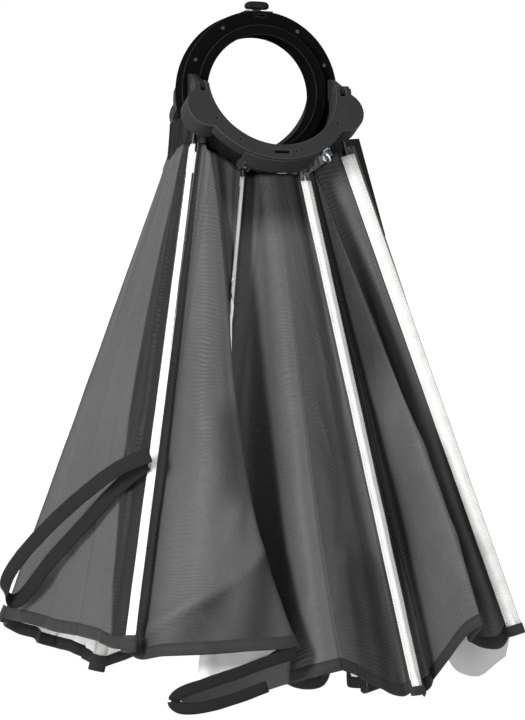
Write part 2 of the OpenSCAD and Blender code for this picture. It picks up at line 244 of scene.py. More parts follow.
def band_mat(name, base, ribs, rough, stitch_at):
    """Webbing, tape and bindings: fine ribs, lines of stitching at distances over the width, and fuzz."""
    m = Mat(name)
    uv, x, y = m.cloth_uv()
    lines = m.math("SINE", m.math("MULTIPLY", y, ribs))
    fine = m.weave(x, y, 5200)
    fuzz = m.noise(uv, 700, 3, 0.7)
    wear = m.noise(uv, 45, 5, 0.6)
    h = m.math("ADD", m.math("MULTIPLY", lines, 0.3), m.math("MULTIPLY", fine, 0.12))
    h = m.math("ADD", h, m.math("MULTIPLY", fuzz, 0.5))
    tone = m.math("ADD", 0.75, m.math("MULTIPLY", wear, 0.5))
    tone = m.math("ADD", tone, m.math("MULTIPLY", lines, 0.08))
    for at in stitch_at:
        mark = m.stitches(y, x, at)
        h = m.math("SUBTRACT", h, m.math("MULTIPLY", mark, 0.8))
        tone = m.math("SUBTRACT", tone, m.math("MULTIPLY", mark, 0.35))
    bump = m.add("Bump", {"Strength": 0.6, "Distance": 0.0006, "Height": h}).outputs[0]
    p = m.add("BsdfPrincipled", {"Base Color": m.multiplied(base, tone), "Roughness": rough, "Normal": bump,
                                 "Sheen Weight": 0.02, "Sheen Roughness": 0.5, "Specular IOR Level": 0.12})
    return m.finish(p.outputs[0])


def thin_mat(name, base, through):
    """Thin white lining that lets light through."""
    m = Mat(name)
    uv, x, y = m.cloth_uv()
    crumple = m.noise(uv, 30, 6, 0.6, 0.5)
    h = m.math("ADD", crumple, m.math("MULTIPLY", m.weave(x, y, 3800), 0.04))
    bump = m.add("Bump", {"Strength": 0.5, "Distance": 0.0015, "Height": h}).outputs[0]
    tone = m.math("ADD", 0.9, m.math("MULTIPLY", crumple, 0.1))
    colour = m.multiplied(base, tone)
    p = m.add("BsdfPrincipled", {"Base Color": colour, "Roughness": 0.6, "Normal": bump, "Sheen Weight": 0.1})
    glow = m.add("BsdfTranslucent", {"Color": colour, "Normal": bump})
    return m.finish(m.add("MixShader", {0: through, 1: p.outputs[0], 2: glow.outputs[0]}).outputs[0])


# the last setting of RING, GREY and HALF is the tone of the highlight painted along their edges
RING = hard("ring_black", (0.0022, 0.0022, 0.0023), 0.3, 0.00006, 0.02, edge=0.0015, spec=0.0, edge_highlight=0.05)
GREY = hard("ring_grey", (0.012, 0.012, 0.0124), 0.5, 0.0002, 0.3, edge=0.0008, grain_scale=420, spec=0.03,
            edge_highlight=0.03)
HALF = hard("half_grey", (0.013, 0.013, 0.0134), 0.5, 0.00012, 0.06, edge=0.0015, spec=0.02, shine=0.006,
            edge_highlight=0.09)
STEEL = hard("steel", (0.5, 0.51, 0.53), 0.3, 0.00003, 0.2, metallic=1.0)
ROD = hard("rod_steel", (0.09, 0.09, 0.095), 0.34, 0.00003, 0.2, metallic=1.0)
SCREW = hard("screw_steel", (0.02, 0.02, 0.021), 0.35, 0.00003, 0.2, metallic=1.0)
CAP = hard("cap_plastic", (0.004, 0.004, 0.004), 0.5, 0.0001, 0.05, edge=0.0006, spec=0.02, shine=0.005)
CLOTH = cloth_mat("cloth_black", (0.041, 0.041, 0.042))
LINING = thin_mat("lining_white", (0.72, 0.72, 0.72), 0.14)
# the flap is the lining's white cloth; its darker base is painted shade for where it hangs inside the octabox
FLAP = thin_mat("flap_white_painted_shade", (0.42, 0.42, 0.42), 0.3)
HEM = band_mat("hem_black", (0.014, 0.014, 0.0143), 2100, 0.7, (0.0030, 0.0125))
TAPE = band_mat("tape_white", (0.42, 0.42, 0.417), 2600, 0.75, (-0.0075, 0.0075))
WEB = band_mat("webbing", (0.0048, 0.0048, 0.005), 2700, 0.8, (-0.0068, 0.0068))
SKIRT = cloth_mat("skirt_black", (0.0032, 0.0032, 0.0033), 0.3, stitch=False)

# ---------------------------------------------------------------- mesh helpers


def build(name, points, faces, mats, uvs=None):
    """A mesh from points in mm; uvs are one pair for each point, in metres."""
    mesh = bpy.data.meshes.new(name)
    mesh.from_pydata([tuple(float(c) * MM for c in p) for p in points], [], faces)
    mesh.validate()
    for m in mats:
        mesh.materials.append(m)
    if uvs is not None:
        layer = mesh.uv_layers.new(name="UVMap")
        index = np.zeros(len(mesh.loops), np.int32)
        mesh.loops.foreach_get("vertex_index", index)
        layer.data.foreach_set("uv", np.asarray(uvs, np.float32)[index].ravel())
    mesh.polygons.foreach_set("use_smooth", [True] * len(mesh.polygons))
    obj = bpy.data.objects.new(name, mesh)
    bpy.context.scene.collection.objects.link(obj)
    return obj


def basis(ts, at):
    """Weights of a smooth curve through control values at ts, for every parameter in at."""
    n, eye = len(ts), np.eye(len(ts))
    slope = np.zeros((n, n))
    slope[0] = (eye[1] - eye[0]) / (ts[1] - ts[0])
    slope[-1] = (eye[-1] - eye[-2]) / (ts[-1] - ts[-2])
    for i in range(1, n - 1):
        slope[i] = (eye[i + 1] - eye[i - 1]) / (ts[i + 1] - ts[i - 1])
    rows = []
    for t in at:
        i = int(min(max(np.searchsorted(ts, t) - 1, 0), n - 2))
        d = ts[i + 1] - ts[i]
        s = (t - ts[i]) / d
        rows.append((2 * s**3 - 3 * s**2 + 1) * eye[i] + (s**3 - 2 * s**2 + s) * d * slope[i]
                    + (3 * s**2 - 2 * s**3) * eye[i + 1] + (s**3 - s**2) * d * slope[i + 1])
    return np.array(rows)


def curve(points, n):
    """n points along a smooth curve through points."""
    p = np.array(points, float)
    ts = np.concatenate([[0], np.cumsum(np.linalg.norm(np.diff(p, axis=0), axis=1) ** 0.5)])
    return basis(ts, np.linspace(0, ts[-1], n)) @ p


def grid_faces(nu, nv, flip=False):
    """The four-sided faces of a grid of nu by nv points."""
    f = []
    for i in range(nu - 1):
        for j in range(nv - 1):
            a, b, c, d = i * nv + j, (i + 1) * nv + j, (i + 1) * nv + j + 1, i * nv + j + 1
            f.append((a, d, c, b) if flip else (a, b, c, d))
    return f


def normals(g):
    """Unit normals of a grid of points."""
    du = np.gradient(g, axis=0)
    dv = np.gradient(g, axis=1)
    n = np.cross(du, dv)
    return n / np.maximum(np.linalg.norm(n, axis=2, keepdims=True), 1e-9)


def loft(name, rings, mats, uvs=None):
    """A tube through rings of points, closed at both ends."""
    n, m = len(rings), len(rings[0])
    pts = [p for ring in rings for p in ring]
    faces = []
    for i in range(n - 1):
        for j in range(m):
            k = (j + 1) % m
            faces.append((i * m + j, i * m + k, (i + 1) * m + k, (i + 1) * m + j))
    faces.append(tuple(range(m))[::-1])
    faces.append(tuple((n - 1) * m + j for j in range(m)))
    o = build(name, pts, faces, mats, uvs)
    bm = bmesh.new()
    bm.from_mesh(o.data)
    bmesh.ops.recalc_face_normals(bm, faces=bm.faces)
    bm.to_mesh(o.data)
    bm.free()
    return o


def add_thickness(obj, metres):
    solid = obj.modifiers.new("thickness", "SOLIDIFY")
    solid.thickness = metres
    return solid


# ---------------------------------------------------------------- cloth

# how far along each rib from its pin the cloth's neck is, and the upper end of the tape
NECK_AT = {1: 24, 2: 8, 3: 8, 4: 24, 5: 34, 6: 34, 7: 34, 8: 50}
TAPE_AT = {1: 27, 2: 16, 3: 18, 4: 36, 5: 44, 6: 44, 7: 44, 8: 72}
SEAM = 7.5          # half the tape's width less what it overlaps the cloth
HEM_ABOVE = 4       # how far the cloth ends above the rib's end
HEM_WIDE = 15.0     # the hem's band


def seam_ends(k, way):
    """Where the cloth meets tape k at its neck and at its hem, on one side of the tape."""
    w = across(k) * way * SEAM
    return along(k, NECK_AT[k]) + w, along(k, RIB_LEN - HEM_ABOVE) + w


# Each gore from rib k to the next: its columns as (place along the neck from 0 to 1, how far it stands out
# there, hem point, bow at two thirds down); "split" is the column where its two halves meet, and "lean" is
# the way in which the neck stands out, if that is not away from the middle.
GORES = {
    1: dict(split=7, columns=[
        (0.06, -5, (-217, -166, -738), (4, 10, 0)), (0.14, -3, (-196, -198, -734), (0, 0, 0)),
        (0.22, 2, (-153, -228, -731), (-6, -6, 0)), (0.28, 5, (-99, -243, -727), (-14, -4, 0)),
        (0.33, 7, (-55, -250, -725), (-24, 4, 0)), (0.36, 7, (-35, -246, -722), (-27, 6, 0)),
        (0.42, 0, (-38, -226, -733), (-26, 14, 0)), (0.55, -6, (-70, -205, -755), (-10, 12, 0)),
        (0.8, -2, (-107, -182, -777), (0, 4, 0))]),
    2: dict(split=6, columns=[
        (0.06, -6, (-104, -148, -790), (4, 12, 0)), (0.12, -9, (-60, -146, -781), (0, 12, 0)),
        (0.2, -6, (-32, -182, -772), (0, 6, 0)), (0.3, 0, (-20, -222, -764), (-4, -2, 0)),
        (0.42, 5, (-2, -240, -758), (-8, -8, 0)), (0.52, 8, (22, -246, -752), (-10, -10, 0)),
        (0.66, 7, (45, -238, -759), (-2, -4, 0)), (0.8, 4, (77, -224, -774), (0, 4, 0)),
        (0.95, -3, (116, -206, -787), (0, 10, 0))]),
    3: dict(split=9, lean=(-0.33, -0.94, 0), columns=[
        (0.03, -3, (153, -192, -789), (0, 4, 0)), (0.06, -6, (160, -178, -785), (2, 6, 0)),
        (0.09, -5, (166, -182, -778), (2, 4, 0)), (0.12, -9, (174, -172, -770), (3, 8, 0)),
        (0.14, -8, (181, -194, -749), (5, 8, 0)), (0.16, -7, (198, -228, -710), (6, 4, 0)),
        (0.18, -6, (214, -246, -697), (8, 0, 0)), (0.19, -14, (221, -210, -708), (6, 6, 0)),
        (0.22, -30, (222, -180, -720), (2, 14, 0)), (0.6, -20, (242, -186, -728), (0, 10, 0)),
        (0.88, -7, (258, -198, -727), (0, 0, 0))]),
    4: dict(split=3, columns=[
        (0.08, 9, (286, -196, -706), (-6, 0, 0)), (0.25, 8, (286, -140, -700), (0, 0, 0)),
        (0.5, 9, (286, -40, -694), (4, 0, 0)), (0.75, 6, (282, 50, -698), (2, 0, 0))]),
    5: dict(split=3, columns=[
        (0.15, -3, (282, 158, -722), (0, 0, 0)), (0.3, 3, (268, 176, -752), (0, 0, 0)),
        (0.45, 8, (262, 216, -790), (4, 6, 0)), (0.6, 6, (236, 226, -800), (4, 8, 0)),
        (0.75, -2, (222, 186, -796), (0, -6, 0)), (0.88, 3, (206, 205, -784), (0, 0, 0))]),
    6: dict(split=3, columns=[
        (0.12, 2, (170, 225, -790), (0, 4, 0)), (0.25, 4, (128, 232, -790), (0, 8, 0)),
        (0.4, 6, (78, 236, -752), (0, 10, 0)), (0.52, 6, (21, 240, -727), (0, 12, 0)),
        (0.68, 6, (-50, 238, -730), (0, 10, 0)), (0.85, 4, (-112, 228, -750), (0, 6, 0))]),
    7: dict(split=3, columns=[
        (0.15, 3, (-166, 244, -748), (0, 2, 0)), (0.3, -3, (-186, 240, -741), (0, -4, 0)),
        (0.42, 6, (-204, 262, -734), (-2, 6, 0)), (0.52, 8, (-226, 262, -728), (-4, 8, 0)),
        (0.65, -2, (-242, 226, -721), (0, -6, 0)), (0.78, 4, (-268, 232, -712), (-2, 4, 0)),
        (0.9, 0, (-288, 200, -702), (0, 0, 0))]),
    8: dict(split=3, columns=[
        (0.2, 4, (-284, 95, -699), (-2, 0, 0)), (0.4, 6, (-272, 30, -707), (-8, 0, 0)),
        (0.6, 5, (-260, -34, -711), (-6, 0, 0)), (0.8, 3, (-252, -102, -717), (-2, 2, 0)),
        (0.92, -1, (-244, -138, -725), (2, 4, 0))]),
}

# Creases in each half as (u, v) from and to, width, height; u runs from rib to fold, v from neck to hem.
CREASES = {
    (1, 0): [
        (0.08, 0.965, 0.62, 0.855, 0.012, 4.5), (0.62, 0.78, 0.8, 0.7, 0.02, 3.0),
        (0.15, 0.96, 0.4, 0.9, 0.02, 1.5), (0.55, 0.9, 0.9, 0.97, 0.03, -2.5),
        (0.35, 0.62, 0.45, 0.5, 0.02, 1.4), (0.6, 0.55, 0.62, 0.66, 0.03, 1.6),
        (0.28, 0.85, 0.33, 0.55, 0.03, -1.5), (0.7, 0.86, 0.93, 0.8, 0.02, 2.0)],
    (2, 1): [
        (0.15, 0.42, 0.45, 0.36, 0.012, 1.6), (0.3, 0.3, 0.4, 0.24, 0.01, 1.4),
        (0.35, 0.74, 0.8, 0.78, 0.02, 2.4), (0.8, 0.78, 0.5, 0.62, 0.02, -2.0),
        (0.55, 0.6, 0.75, 0.48, 0.016, 1.8), (0.6, 0.12, 0.7, 0.04, 0.02, 2.0),
        (0.2, 0.9, 0.6, 0.84, 0.03, -2.2)],
    (2, 0): [(0.85, 0.7, 0.95, 0.5, 0.02, 1.4), (0.7, 0.9, 0.95, 0.8, 0.03, 2.0)],
    (3, 0): [
        (0.6, 0.85, 0.9, 0.75, 0.02, 1.8), (0.75, 0.62, 0.95, 0.5, 0.016, 1.6),
        (0.3, 0.5, 0.4, 0.9, 0.03, -1.6)],
    (8, 1): [
        (0.2, 0.72, 0.6, 0.6, 0.02, 1.8), (0.35, 0.55, 0.5, 0.7, 0.02, 1.6),
        (0.5, 0.9, 0.85, 0.84, 0.02, 1.5), (0.6, 0.42, 0.7, 0.62, 0.014, -1.6)],
    (8, 0): [
        (0.3, 0.62, 0.75, 0.7, 0.02, 1.8), (0.2, 0.5, 0.4, 0.66, 0.02, 1.4),
        (0.5, 0.88, 0.9, 0.93, 0.025, 1.8)],
}

# Long pleats beside the tapes, in mm: distance from the tape at the neck and at the hem, width there, height.
PLEATS = {
    (1, 0): [(7, 13, 5, 9, -9), (22, 44, 9, 20, 4)],
    (1, 1): [(6, 12, 4, 9, -5)],
    (2, 0): [(9, 16, 6, 10, -10)],
    (2, 1): [(5, 9, 3, 6, -5), (20, 52, 6, 14, 3)],
    (3, 1): [(6, 12, 4, 9, -6)],
    (4, 0): [(4, 8, 3, 6, 3)],
    (5, 0): [(14, 40, 6, 16, 15), (26, 78, 6, 14, -12)],
    (5, 1): [(14, 34, 6, 13, -12), (24, 66, 6, 14, 11)],
    (7, 0): [(12, 34, 6, 13, -6), (24, 68, 6, 14, 6)],
    (7, 1): [(14, 36, 6, 14, 7), (28, 72, 6, 14, -5)],
    (8, 0): [(16, 60, 7, 20, 5), (30, 105, 8, 18, -4)],
    (8, 1): [(14, 52, 5, 9, 4), (3, 12, 3, 8, -5)],
}

# Painted shade on the cloth, with soft edges, where the ring, folds and tapes shade it: (from u, to u, middle
# v, half height in v, how much).
PAINTED_SHADE = {
    (1, 0): [(0.5, 0.95, 0.62, 0.12, 0.4)],
    (1, 1): [(-0.1, 1.3, 0.0, 0.13, 0.7)],
    (2, 0): [(-0.1, 1.3, 0.0, 0.13, 0.7)],
    (2, 1): [(-0.1, 0.75, 0.9, 0.2, 0.45), (-0.1, 1.3, 0.0, 0.13, 0.7)],
    (3, 0): [(-0.1, 1.3, 0.22, 0.3, 0.6), (-0.1, 0.5, 0.5, 0.4, 0.5)],
    (3, 1): [(0.55, 1.2, 0.6, 0.5, 0.75)],
}


def painted_shade(k, side, uu, vv, far):
    """How much painted shade darkens the cloth at each point, from 0 to 1; far is the distance from the tape
    in mm.
    """
    d = np.zeros_like(uu)
    for u0, u1, v0, half, amount in PAINTED_SHADE.get((k, side), ()):
        inside = np.clip((uu - u0) / 0.12, 0, 1) * np.clip((u1 - uu) / 0.12, 0, 1)
        d = np.maximum(d, amount * inside * np.clip((half - abs(vv - v0)) / (half * 0.4), 0, 1))
    if (k, side) == (1, 0):     # painted shade beneath the long crease above its hem
        below = np.clip((vv - 0.985 + 0.2 * uu) / 0.012, 0, 1) * np.clip((0.995 - vv) / 0.02, 0, 1)
        d = np.maximum(d, 0.6 * below * (0.8 + 0.35 * np.sin(uu * 21 + vv * 26)))
    if (k, side) == (8, 1):     # a long band of painted shade beside tape 1
        edge = 14 + 50 * np.sin(np.pi * np.clip(vv * 0.86, 0, 1))
        d = np.maximum(d, 0.8 * np.clip((edge - far) / 3, 0, 1))
    return d


def half_gore(k, side, nu, nv):
    """Points, normals and painted shade of half of gore k, as grids [u][v] from its rib to where the halves
    meet.
    """
    nxt, spec = k % 8 + 1, GORES[k]
    top_a, low_a = seam_ends(k, 1)
    top_b, low_b = seam_ends(nxt, -1)
    cols = [(0.0, 0, low_a, (0, 0, 0))] + spec["columns"] + [(1.0, 0, low_b, (0, 0, 0))]
    cut = spec["split"]
    cols = cols[:cut + 1] if side == 0 else cols[cut:][::-1]
    hem = np.array([c[2] for c in cols], float)
    bow = np.array([c[3] for c in cols], float)
    neck = []
    for f, out, _, _ in cols:
        p = top_a + (top_b - top_a) * f
        neck.append(p + unit(spec.get("lean", from_middle(p))) * out)
    neck = np.array(neck)
    ts = np.concatenate([[0], np.cumsum(np.linalg.norm(np.diff(hem, axis=0), axis=1) ** 0.6)])
    w = basis(ts, np.linspace(0, ts[-1], nu))
    n, h, b = w @ neck, w @ hem, w @ bow
    v = np.linspace(0, 1, nv)[None, :, None]
    full_bow = 6.75     # makes the bow's factor 1 at two thirds down
    g = n[:, None] * (1 - v) + h[:, None] * v + b[:, None] * full_bow * v**2 * (1 - v)
    nor = normals(g) * (-1 if side == 0 else 1)
    # crumples and creases, dying away at the tape, the neck and the meeting line
    uu, vv = np.meshgrid(np.linspace(0, 1, nu), np.linspace(0, 1, nv), indexing="ij")
    hold = np.clip(uu * 6, 0, 1) * np.clip((1 - uu) * 5, 0, 1) * np.clip(vv * 5, 0, 1)
    out = np.zeros((nu, nv))
    for i in range(nu):
        for j in range(nv):
            p = g[i, j]
            q = Vector((p[0] * 0.016 + k * 7, p[1] * 0.016, p[2] * 0.006 + side * 5))
            r = Vector((p[0] * 0.04, p[1] * 0.04, p[2] * 0.022 + k))
            out[i, j] = 3.2 * noise.noise(q) * (0.3 + vv[i, j]) + 1.5 * noise.noise(r) * vv[i, j]
    for u0, v0, u1, v1, wide, high in CREASES.get((k, side), ()):
        d = np.array([(u1 - u0) * 0.3, v1 - v0])
        t = np.clip(((uu - u0) * 0.3 * d[0] + (vv - v0) * d[1]) / (d @ d), 0, 1)
        dist = np.hypot((uu - u0) * 0.3 - t * d[0], (vv - v0) - t * d[1])
        out += high * np.exp(-(dist / wide) ** 2) * (0.4 + 0.6 * np.sin(np.pi * np.clip(t, 0.05, 0.95)))
    gap = np.linalg.norm(np.diff(g, axis=0), axis=2)
    far = np.concatenate([np.zeros((1, nv)), np.cumsum(gap, axis=0)])
    rise = np.zeros((nu, nv))
    for x0, x1, w0, w1, high in PLEATS.get((k, side), ()):
        at, wide = x0 + (x1 - x0) * vv, w0 + (w1 - w0) * vv
        rise += high * np.exp(-((far - at) / wide) ** 2) * (0.35 + 0.65 * vv)
    rise *= np.clip(far / 5, 0, 1) * np.clip((1 - uu) * 6, 0, 1)
    g = g + nor * (out * hold + rise)[:, :, None]
    return g, normals(g) * (-1 if side == 0 else 1), painted_shade(k, side, uu, vv, far)


def add_gore_half(k, side):
    """One half of gore k and its hem; the gores seen from the front are finer."""
    near = k in (1, 2, 3, 8)
    nu, nv = (44, 120) if near else (30, 70)
    g, nor, dark = half_gore(k, side, nu, nv)
    step_u = np.linalg.norm(np.diff(g, axis=0), axis=2)
    x = np.concatenate([np.zeros((1, nv)), np.cumsum(step_u, axis=0)]) * MM
    y = np.concatenate([[0], np.cumsum(np.linalg.norm(np.diff(g[0], axis=0), axis=1))]) * MM
    uv = np.stack([x, np.broadcast_to(y, (nu, nv)) + k * 0.8], axis=2)
    name = f"gore_{k}_{'ab'[side]}"
    panel = build(name, g.reshape(-1, 3), grid_faces(nu, nv, side == 0), [CLOTH, LINING], uv.reshape(-1, 2))
    # the painted shade is kept on each point, for the cloth material to darken by
    painted_shade_layer = panel.data.attributes.new("painted_shade", "FLOAT", "POINT")
    painted_shade_layer.data.foreach_set("value", dark.ravel().astype(np.float32))
    solid = add_thickness(panel, 0.0007)
    solid.offset = -1
    solid.material_offset = 1
    solid.material_offset_rim = 0

    # the hem: a folded band round the lower edge, stitched, on both faces
    low, down = g[:, -1], g[:, -1] - g[:, -6]
    down = down / np.linalg.norm(down, axis=1, keepdims=True)
    wide = HEM_WIDE
    section = [(wide, 0.5), (wide - 1, 1.1), (wide * 0.5, 1.5), (1, 1.7), (-1.6, 0.2),
               (0, -1.9), (wide * 0.5, -2.2), (wide - 1, -1.9), (wide, -1.2)]
    rings, uvs = [], []
    tops = np.linalg.norm(g[:, -1] - g[:, -8], axis=1) / 7
    for i in range(nu):
        ring = []
        for back, off in section:
            steps = min(max(back, 0) / tops[i], 20)
            j = nv - 1 - int(steps)
            t = steps - int(steps)
            base = g[i, j] * (1 - t) + g[i, j - 1] * t if back > 0 else low[i] - down[i] * back
            wave = 0.35 * math.sin(x[i, -1] * 1600) * (1 if off > 0 else 0.5)
            ring.append(base + nor[i, j] * (off + wave * (abs(off) > 1)))
            uvs.append((x[i, -1], max(back, 0) * MM))
        rings.append(ring)
    hem = loft(f"hem_{k}_{'ab'[side]}", rings, [HEM], uvs)
    return panel, hem


def bend_with_rib(obj):
    """Bakes the panel's placement into its mesh."""
    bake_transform(obj)


for k, spec in GORES.items():
    a, hem_a = add_gore_half(k, 0)
    b, hem_b = add_gore_half(k, 1)
    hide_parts(f"cloth_{k}")
    cut = spec["split"]
    edge_a = [seam_ends(k, 1)[1]] + [c[2] for c in spec["columns"][:cut]]
    edge_b = [c[2] for c in spec["columns"][cut - 1:]] + [seam_ends(k % 8 + 1, -1)[1]]
    la, lb = (np.linalg.norm(np.diff(np.array(e, float), axis=0), axis=1).sum() for e in (edge_a, edge_b))
    for panel, hem, rib, share in ((a, hem_a, k, la / (la + lb)), (b, hem_b, k % 8 + 1, lb / (la + lb))):
        bend_with_rib(panel)
        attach(hem, f"rib_{rib}")

# ---------------------------------------------------------------- white tape sleeves on the ribs

# the tape's width at its upper and at its lower end, in mm
TAPE_WIDTH = {
    1: (8, 15), 2: (10, 12), 3: (16, 17), 4: (19, 20),
    5: (19, 19), 6: (19, 19), 7: (19, 19), 8: (19, 19),
}
# as (share of half the width, distance outward): the tape's face, the fold over the rod, and its back
TAPE_SECTION = [
    (-1, 0.5), (-0.8, 0.9), (-0.45, 1.2), (-0.24, 2.1), (0, 2.5), (0.24, 2.1), (0.45, 1.2), (0.8, 0.9),
    (1, 0.5), (1, -0.2), (0.3, -1.9), (0, -2.2), (-0.3, -1.9), (-1, -0.2),
]
TAPE_ROWS = 90
TAPE_PAST = 1.5     # how far the tape runs on past the rib's end
for k in PIVOT:
    w, out = across(k), outward(k)
    wide_a, wide_b = TAPE_WIDTH[k]
    rows, uvs = [], []
    for i in range(TAPE_ROWS):
        t = i / (TAPE_ROWS - 1)
        s = TAPE_AT[k] + (RIB_LEN + TAPE_PAST - TAPE_AT[k]) * t
        half = (wide_a * (1 - t) + wide_b * t) / 2
        half *= 1 + 0.03 * noise.noise(Vector((s * 0.03, k * 3, 0)))
        lift = 0.5 * noise.noise(Vector((s * 0.02, k * 5, 2)))
        full = 1 + 0.75 * min(max((s - RIB_LEN + 26) / 10, 0), 1)      # the tape is fuller over the rib's cap
        rows.append([along(k, s) + w * a * half + out * (b * (full if abs(b) > 2 else 1) + lift)
                     for a, b in TAPE_SECTION])
        uvs += [(s * MM + k, a * half * MM) for a, b in TAPE_SECTION]
    tape = loft(f"sleeve_tape_{k}", rows, [TAPE], uvs)
    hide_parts(f"sleeve_{k}")
    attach(tape, f"rib_{k}")

# the hem runs on over each rib's end: how far above the end it begins, in mm, and its section round the tape
END_FROM = {1: 17, 2: 10, 3: 8, 4: 10, 5: 17, 6: 17, 7: 19, 8: 19}
END_PAST = 3
END_SECTION = [
    (-11.5, 0.8), (-10.5, 2.6), (-5, 4.2), (0, 5.2), (5, 4.2), (10.5, 2.6), (11.5, 0.8),
    (10.5, -2.2), (5, -4.0), (0, -4.8), (-5, -4.0), (-10.5, -2.2),
]
END_ROWS = 14
for k in PIVOT:
    w, out = across(k), outward(k)
    rows, uvs = [], []
    for i in range(END_ROWS):
        t = i / (END_ROWS - 1)
        s = RIB_LEN - END_FROM[k] + (END_FROM[k] + END_PAST) * t
        grow = 1 + 0.12 * math.sin(math.pi * min(max(t, 0.06), 0.94))
        lift = 0.4 * noise.noise(Vector((s * 0.2, k * 4, 1)))
        rows.append([along(k, s) + w * a * (0.94 + 0.06 * grow) + out * (b * grow + lift)
                     for a, b in END_SECTION])
        uvs += [(a * MM + 0.02, (RIB_LEN + END_PAST - s) * MM) for a, b in END_SECTION]
    cap = loft(f"hem_end_{k}", rows, [HEM], uvs)
    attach(cap, f"rib_{k}")


# ---------------------------------------------------------------- skirts under the half rings, and gathers


def on_half(front, a, r, n):
    """A point of a half ring at angle a from its middle and radius r, n out of its lamp face."""
    x, s = r * math.sin(a), r * math.cos(a)
    y = s * math.cos(TILT) + n * math.sin(TILT)
    return (x, -41 - y if front else 40 + y, n * math.cos(TILT) - s * math.sin(TILT))


# each skirt's upper and lower edge as (radius, height over the half ring's lamp face) in mm, its flat size in
# metres, and the share of its depth that it keeps at the far end of its half ring's swing
SKIRTS = {
    "front": ((98, -5), (95, -52), (0.285, 0.047), 0.12),
    "rear": ((93, -5), (86, -40), (0.265, 0.036), 0.4),
}
nu, nv = 90, 16
for half, ((r0, n0), (r1, n1), flat, keep) in SKIRTS.items():
    front = half == "front"
    pts, uvs = [], []
    for i in range(nu):
        a = math.radians(-84 + 168 * i / (nu - 1))
        for j in range(nv):
            t = j / (nv - 1)
            r = r0 + (r1 - r0) * t + 1.6 * math.sin(a * 34) * t
            pts.append(on_half(front, a, r, n0 + (n1 - n0) * t + 2.5 * math.sin(a * 5) * t))
            uvs.append((a * 0.097, t * 0.045))
    skirt = build(f"skirt_{half}", pts, grid_faces(nu, nv), [SKIRT], uvs)
    add_thickness(skirt, 0.0008)
    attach(skirt, f"{half}_half")
    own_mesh(skirt)


def patch(name, top, low, mat, body, rests, ripple=0.0):
    """A small sheet between an upper and a lower edge."""
    nu, nv = 30, 24
    a, b = curve(top, nu), curve(low, nu)
    t = np.linspace(0, 1, nv)[None, :, None]
    g = a[:, None] * (1 - t) + b[:, None] * t
    waves = np.sin(np.linspace(0, 26, nu))[:, None] * np.sin(np.linspace(0.3, 2.8, nv))[None, :]
    g = g + normals(g) * (ripple * waves)[:, :, None]
    wide = np.linalg.norm(np.diff(g, axis=0), axis=2).sum(0).mean() * MM
    long = np.linalg.norm(np.diff(g, axis=1), axis=2).sum(1).mean() * MM
    uu, vv = np.meshgrid(np.linspace(0, wide, nu), np.linspace(0, long, nv), indexing="ij")
    o = build(name, g.reshape(-1, 3), grid_faces(nu, nv), [mat], np.stack([uu, vv], 2).reshape(-1, 2))
    add_thickness(o, 0.0008)
    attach(o, body)
    return o


patch("neck_panel_8", [along(8, 8) + (2, -3, 0), along(1, 8) + (-2, 12, 4)],
      [along(8, 78) + (1, -2, 0), along(1, 30) + (-2, 12, 0)], SKIRT, "rear_half", "rear_half_ring")
gather = patch("neck_gather_1", [(-121, 12, -44), (-112, -12, -38), (-99, -34, -41), (-86, -42, -47)],
               [(-117, 35, -90), (-112, 0, -82), (-103, -26, -77), (-89, -40, -74)],
               SKIRT, "front_half", "front_half_ring", 1.8)
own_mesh(gather)
wedge = patch("neck_panel_4", [(87, -14, -62), (140, 2, -56)], [(150, -38, -184), (163, -35, -188)],
              SKIRT, "rib_4", "sleeve_tape_4")
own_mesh(wedge)

# ---------------------------------------------------------------- strap, tongue and inner flap

# as (share of half the width, share of the thickness)
BAND_SECTION = [
    (-1, 0.25), (-0.9, 0.5), (-0.4, 0.55), (0.4, 0.55), (0.9, 0.5), (1, 0.25),
    (1, -0.25), (0.9, -0.5), (0.4, -0.55), (-0.4, -0.55), (-0.9, -0.5), (-1, -0.25),
]


def ribbon(name, path, wide, width, thick, mat, n, wobble):
    """A band of n rings along path whose width lies along wide."""
    p = curve(path, n)
    t = np.gradient(p, axis=0)
    t /= np.linalg.norm(t, axis=1, keepdims=True)
    wide = unit(wide)
    rows, uvs, run = [], [], 0.0
    for i in range(n):
        s = unit(wide - t[i] * (wide @ t[i]))
        u = np.cross(t[i], s)
        if i:
            run += np.linalg.norm(p[i] - p[i - 1])
        half = width / 2 * (1 + 0.04 * noise.noise(Vector((run * 0.05, 1, 3))))
        lift = wobble * noise.noise(Vector((run * 0.03, 4, 1)))
        rows.append([p[i] + s * a * half + u * (b * thick + lift) for a, b in BAND_SECTION])
        uvs += [(run * MM, a * half * MM) for a, b in BAND_SECTION]
    return loft(name, rows, [mat], uvs)


strap = ribbon("binding_webbing", [
    (-199, -146, -483), (-228, -112, -499), (-251, -60, -525), (-278, -5, -561), (-300, 45, -597),
    (-316, 85, -632), (-319, 100, -657), (-307, 104, -670), (-295, 92, -662), (-275, 40, -618),
    (-249, -25, -570), (-223, -80, -526), (-198, -128, -494)], (-0.3, 0.2, 0.93), 19, 2.4, WEB, 160, 0.8)
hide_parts("binding_strap")
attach(strap, "rib_1")

tongue = ribbon("hook_tongue", [
    (-40, -249, -731), (-75, -247, -741), (-115, -244, -755), (-155, -240, -768), (-186, -236, -779),
    (-196, -234, -790), (-186, -236, -798), (-160, -240, -797), (-120, -244, -787), (-78, -248, -772)],
    (0.15, -0.1, 1), 15, 2.6, WEB, 110, 1.0)
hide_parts("hem_tongue")
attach(tongue, "rib_2")

patch("gore_2_corner", [(-186, -226, -786), (-120, -228, -764), (-40, -228, -738)],
      [(-176, -220, -796), (-110, -214, -790), (-34, -204, -770)], CLOTH, "rib_2", "hook_tongue")

